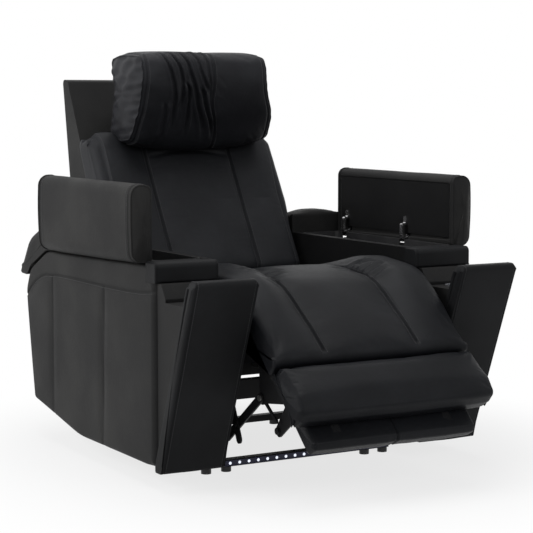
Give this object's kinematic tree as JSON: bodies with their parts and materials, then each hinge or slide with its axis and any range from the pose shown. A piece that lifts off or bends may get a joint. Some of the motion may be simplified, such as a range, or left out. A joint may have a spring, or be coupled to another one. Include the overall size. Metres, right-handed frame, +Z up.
{
  "type": "power recliner",
  "caption": "Home theatre power recliner: reclining back with tilting headrest, rising footrest with extension, wide arms with lidded bins, cup holders and a lit base.",
  "frame": {"origin": "on the floor under the middle of the chair, as pictured with lids open, footrest half raised and back a little reclined", "axes": "+Z up, the chair faces -Y, +X to the sitter's left; millimetres in the source, metres in the row"},
  "size_m": [1.072, 1.4314, 1.1509],
  "materials": {
    "leather": "dark grey pebbled leather, semi-matt",
    "cushion": "charcoal soft leather on foam, semi-matt",
    "board": "birch plywood, unfinished",
    "steel": "black powder-coated steel",
    "zinc": "zinc-plated steel",
    "chrome": "polished chrome",
    "plastic": "black moulded plastic",
    "strip": "dark strip with cool white lamps",
    "cup": "satin stainless steel",
    "webbing": "woven elastic webbing",
    "button": "grey rubber-touch plastic",
    "covered_board": "charcoal leather over a plywood board",
    "cloth_board": "black dust cloth over a plywood board"
  },
  "bodies": {
    "base": {"arm_filler_left": "leather", "arm_filler_right": "leather", "arm_frame_left": "covered_board", "arm_frame_right": "covered_board", "arm_noses": "leather", "arm_outer_panel_left": "leather", "arm_outer_panel_right": "leather", "back_actuator": "plastic", "base_frame": "steel", "carriage_rail": "zinc", "control_box": "plastic", "control_panel": "plastic", "cup_liners": "cup", "feet": "plastic", "footrest_motor": "plastic", "front_cross_rail": "steel", "front_slab_left": "leather", "front_slab_right": "leather", "lid_hinge_bases": "steel", "light_strip": "strip", "plate_rivets": "zinc", "rear_arm_pad_left": "leather", "rear_arm_pad_right": "leather", "rear_cross_rail": "steel", "seat_cushion": "cushion", "seat_frame": "board", "seat_webbing": "webbing", "side_plate_left": "steel", "side_plate_right": "steel", "storage_bin_left": "plastic", "storage_bin_right": "plastic"},
    "back": {"back_shell": "leather", "back_frame": "steel", "back_cushion": "cushion", "headrest_ears": "steel"},
    "headrest": {"headrest_cushion": "cushion", "headrest_frame": "steel"},
    "footrest": {"footrest_board": "cloth_board", "calf_pad": "cushion", "foot_pad": "cushion", "footrest_brackets": "steel", "link_rivets": "zinc", "slide_rails": "zinc"},
    "extension": {"extension_pad": "cushion", "extension_board": "cloth_board", "extension_brackets": "steel"},
    "drive": {"drive_shaft": "steel"},
    "lifters": {"lift_links": "steel"},
    "slider": {"carriage": "steel"},
    "recline_rod": {"back_rod": "zinc"},
    "left_lid": {"lid_pad_left": "leather", "lid_board_left": "covered_board", "lid_hinge_arms_left": "chrome"},
    "right_lid": {"lid_pad_right": "leather", "lid_board_right": "covered_board", "lid_hinge_arms_right": "chrome"},
    "push_1": {"button_1": "button"},
    "push_2": {"button_2": "button"},
    "push_3": {"button_3": "button"},
    "push_4": {"button_4": "button"}
  },
  "joints": [
    {"name": "back_recline", "type": "hinge", "parent": "base", "child": "back", "pos_m": [0, 0.3, 0.38], "axis": [-1, 0, 0], "range_deg": [-4, 30]},
    {"name": "headrest_tilt", "type": "hinge", "parent": "back", "child": "headrest", "pos_m": [0, 0.58704, 0.91577], "axis": [-1, 0, 0], "range_deg": [-6, 25]},
    {"name": "footrest_lift", "type": "hinge", "parent": "base", "child": "footrest", "pos_m": [0, -0.365, 0.465], "axis": [-1, 0, 0], "range_deg": [-59, 34]},
    {"name": "extension_slide", "type": "slide", "parent": "footrest", "child": "extension", "axis": [0, -0.7108, -0.7034], "range_m": [-0.0824, 0.0475]},
    {"name": "drive_turn", "type": "hinge", "parent": "base", "child": "drive", "pos_m": [0, -0.248, 0.377], "axis": [-1, 0, 0], "range_deg": [-59, 34]},
    {"name": "lift_link_turn", "type": "hinge", "parent": "footrest", "child": "lifters", "pos_m": [0, -0.463, 0.24984], "axis": [-1, 0, 0], "range_deg": [-34, 59]},
    {"name": "carriage_slide", "type": "slide", "parent": "base", "child": "slider", "axis": [0, -1, 0], "range_m": [-0.0569, 0.0328]},
    {"name": "recline_rod_slide", "type": "slide", "parent": "base", "child": "recline_rod", "axis": [0, -1, 0], "range_m": [-0.00665, 0.0498]},
    {"name": "left_lid_close", "type": "hinge", "parent": "base", "child": "left_lid", "pos_m": [0.4903, 0, 0.6057], "axis": [0, -1, 0], "range_deg": [0, 90]},
    {"name": "right_lid_close", "type": "hinge", "parent": "base", "child": "right_lid", "pos_m": [-0.4903, 0, 0.6057], "axis": [0, 1, 0], "range_deg": [0, 90]},
    {"name": "button_1_press", "type": "slide", "parent": "base", "child": "push_1", "axis": [-1, 0, 0], "range_m": [0, 0.0012], "stiffness_N_per_m": 400, "springref_m": -0.0002},
    {"name": "button_2_press", "type": "slide", "parent": "base", "child": "push_2", "axis": [-1, 0, 0], "range_m": [0, 0.0012], "stiffness_N_per_m": 400, "springref_m": -0.0002},
    {"name": "button_3_press", "type": "slide", "parent": "base", "child": "push_3", "axis": [-1, 0, 0], "range_m": [0, 0.0012], "stiffness_N_per_m": 400, "springref_m": -0.0002},
    {"name": "button_4_press", "type": "slide", "parent": "base", "child": "push_4", "axis": [-1, 0, 0], "range_m": [0, 0.0012], "stiffness_N_per_m": 400, "springref_m": -0.0002}
  ],
  "couplings": [
    {"joint": "extension_slide", "follows": "footrest_lift", "m_per_rad": 0.08},
    {"joint": "drive_turn", "follows": "footrest_lift", "ratio": 1},
    {"joint": "lift_link_turn", "follows": "footrest_lift", "ratio": -1},
    {"joint": "carriage_slide", "follows": "footrest_lift", "m_per_rad": 0.0552},
    {"joint": "recline_rod_slide", "follows": "back_recline", "m_per_rad": 0.0949}
  ]
}
